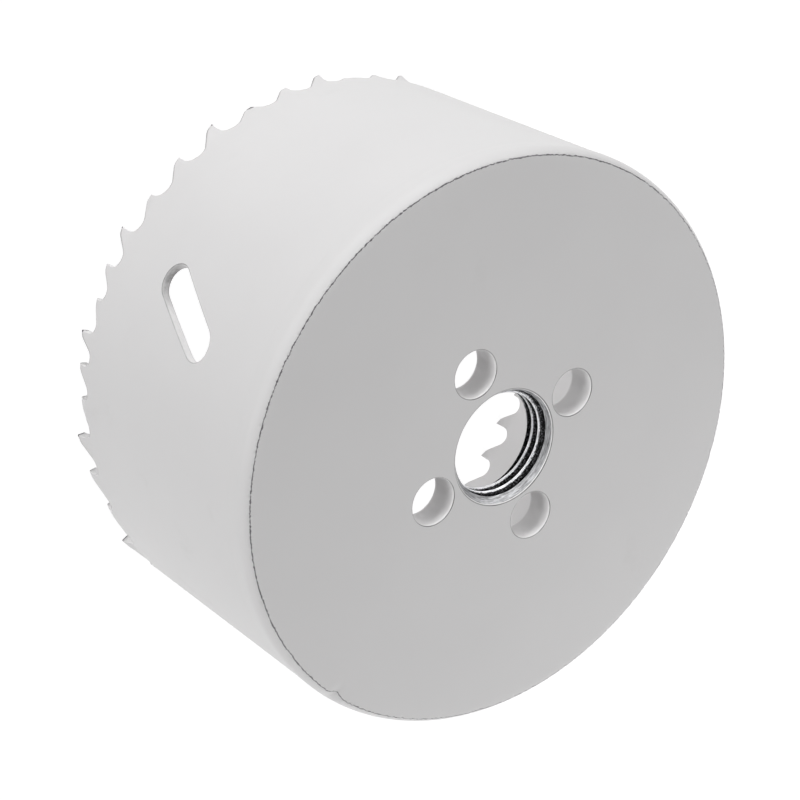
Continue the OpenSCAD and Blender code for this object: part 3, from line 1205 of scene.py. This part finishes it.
def seen_directly(tree):
    """The rays that see or mirror the background, and those of the camera alone."""
    rays = plug(tree, "ShaderNodeLightPath").outputs
    mirrored = maths(tree, "MAXIMUM", rays["Is Glossy Ray"], rays["Is Transmission Ray"])
    return maths(tree, "MAXIMUM", rays["Is Camera Ray"], mirrored), rays["Is Camera Ray"]


def white_floor(stage):
    """A large pale floor that glows like a light table and still takes the saw's shadow."""
    side = stage.floor / 2
    mesh = bpy.data.meshes.new("floor")
    corners = [(-side, -side, 0), (side, -side, 0), (side, side, 0), (-side, side, 0)]
    mesh.from_pydata(corners, [], [(0, 1, 2, 3)])
    made = bpy.data.materials.new("white_floor")
    tree = empty_tree(made)
    seen, by_camera = seen_directly(tree)
    away = vector(tree, "LENGTH", on_piece(tree))["Value"]
    given = ramp(tree, away, CUP_HIGH.x - 4 * MM, CUP_HIGH.x - MM, stage.under_glow, stage.floor_glow)
    # The lamps reach the far floor less, so it shows the camera a little more glow of its own
    far_glow = times(tree, by_camera, ramp(tree, away, 0.3, 0.8, 0.0, 0.12))
    strength = maths(tree, "ADD", ramp(tree, seen, 0, 1, given, FLOOR_SHOWN), far_glow)
    glow = plug(tree, "ShaderNodeEmission", sockets={"Color": WHITE, "Strength": strength})
    cloth = plug(tree, "ShaderNodeBsdfDiffuse", sockets={"Color": FLOOR_CLOTH})
    both = plug(tree, "ShaderNodeAddShader", sockets={0: glow.outputs[0], 1: cloth.outputs[0]})
    end_surface(tree, "ShaderNodeOutputMaterial", both)
    mesh.materials.append(made)
    add_object("floor", mesh)


def soft_world(stage):
    """Pale even light from above, over a background that shows white."""
    world = bpy.data.worlds.new("studio")
    bpy.context.scene.world = world
    tree = empty_tree(world)
    seen, _ = seen_directly(tree)
    light = plug(tree, "ShaderNodeBackground", sockets={
        "Color": WHITE, "Strength": ramp(tree, seen, 0, 1, stage.sky, 1.0)})
    end_surface(tree, "ShaderNodeOutputWorld", light)


def softbox(name, azimuth, elevation, distance, size, power):
    """A square softbox that faces the saw and leaves no glint on it."""
    data = bpy.data.lights.new(name, "AREA")
    data.shape = "SQUARE"
    data.size = size
    data.energy = power
    lamp = add_object(name, data)
    flat = distance * math.cos(elevation)
    height = distance * math.sin(elevation) + LAMP_AIM
    lamp.location = (flat * math.cos(azimuth), flat * math.sin(azimuth), height)
    lamp.rotation_euler = (math.pi / 2 - elevation, 0, azimuth + math.pi / 2)
    lamp.visible_glossy = False


def photo_camera(stage):
    """The camera at the photograph's angle."""
    data = bpy.data.cameras.new("camera")
    data.sensor_width = 36
    data.lens = stage.lens
    data.shift_x, data.shift_y = stage.shift
    data.clip_start = 0.01
    camera = add_object("camera", data)
    camera.location = stage.camera_place
    camera.rotation_euler = stage.camera_turn
    bpy.context.scene.camera = camera


# Operators, panel and registration


class HOLESAW_OT_stage(bpy.types.Operator):
    """Sets up the floor, the soft light and the camera"""

    bl_idname = "holesaw.stage"
    bl_label = "Set up the stage"

    def execute(self, context):
        stage = context.scene.holesaw_stage
        context.scene.view_settings.view_transform = "Standard"
        soft_world(stage)
        white_floor(stage)
        for name, (azimuth, elevation, distance, size, power) in SOFTBOXES.items():
            softbox(name, math.radians(azimuth), math.radians(elevation), distance, size, power * stage.lamps)
        photo_camera(stage)
        return {"FINISHED"}


class HOLESAW_OT_cup(bpy.types.Operator):
    """Builds the rolled cup with its set teeth and slots"""

    bl_idname = "holesaw.cup"
    bl_label = "Build the cup"

    def execute(self, context):
        scene = context.scene
        cup, teeth = scene.holesaw_cup, scene.holesaw_teeth
        piece = make_piece("cup_shell", *build_cup(cup, teeth))
        run_tree(piece, roll_tree(), {
            "Radius": cup.wall_radius, "Set height": teeth.set_height,
            "Material": cup_material(scene.holesaw_finish)})
        settle(piece, "cup")
        return {"FINISHED"}


class HOLESAW_OT_end_cap(bpy.types.Operator):
    """Builds the end cap with its corner, holes and thread"""

    bl_idname = "holesaw.end_cap"
    bl_label = "Build the end cap"

    def execute(self, context):
        scene = context.scene
        cap = scene.holesaw_cap
        piece = make_piece("cap_plate", *build_cap(cap))
        run_tree(piece, thread_tree(), {
            "Bore": cap.thread_bore, "Depth": cap.thread_depth, "Pitch": cap.thread_pitch,
            "Start": cap.thread_start, "Material": cap_material(scene.holesaw_finish, cap)})
        settle(piece, "end_cap")
        return {"FINISHED"}


class HOLESAW_PT_panel(bpy.types.Panel):
    """Lists the hole saw's operators and settings"""

    bl_idname = "HOLESAW_PT_panel"
    bl_label = "Hole saw"
    bl_space_type = "VIEW_3D"
    bl_region_type = "UI"
    bl_category = "Hole saw"

    def draw(self, context):
        layout = self.layout
        for operator in OPERATORS:
            layout.operator(operator.bl_idname)
        for name, settings in SETTINGS.items():
            box = layout.box()
            box.label(text=settings.__doc__)
            for label in settings.__annotations__:
                box.prop(getattr(context.scene, name), label)


OPERATORS = (HOLESAW_OT_stage, HOLESAW_OT_cup, HOLESAW_OT_end_cap)
SETTINGS = {
    "holesaw_cup": HoleSawCup,
    "holesaw_teeth": HoleSawTeeth,
    "holesaw_cap": HoleSawCap,
    "holesaw_finish": HoleSawFinish,
    "holesaw_stage": HoleSawStage,
}


def register():
    for settings in SETTINGS.values():
        bpy.utils.register_class(settings)
    for name, settings in SETTINGS.items():
        setattr(bpy.types.Scene, name, PointerProperty(type=settings))
    for operator in OPERATORS:
        bpy.utils.register_class(operator)
    bpy.utils.register_class(HOLESAW_PT_panel)


def unregister():
    bpy.utils.unregister_class(HOLESAW_PT_panel)
    for operator in reversed(OPERATORS):
        bpy.utils.unregister_class(operator)
    for name in SETTINGS:
        delattr(bpy.types.Scene, name)
    for settings in reversed(list(SETTINGS.values())):
        bpy.utils.unregister_class(settings)


def main():
    register()
    bpy.ops.holesaw.stage()
    bpy.ops.holesaw.cup()
    bpy.ops.holesaw.end_cap()


if __name__ == "__main__":
    main()
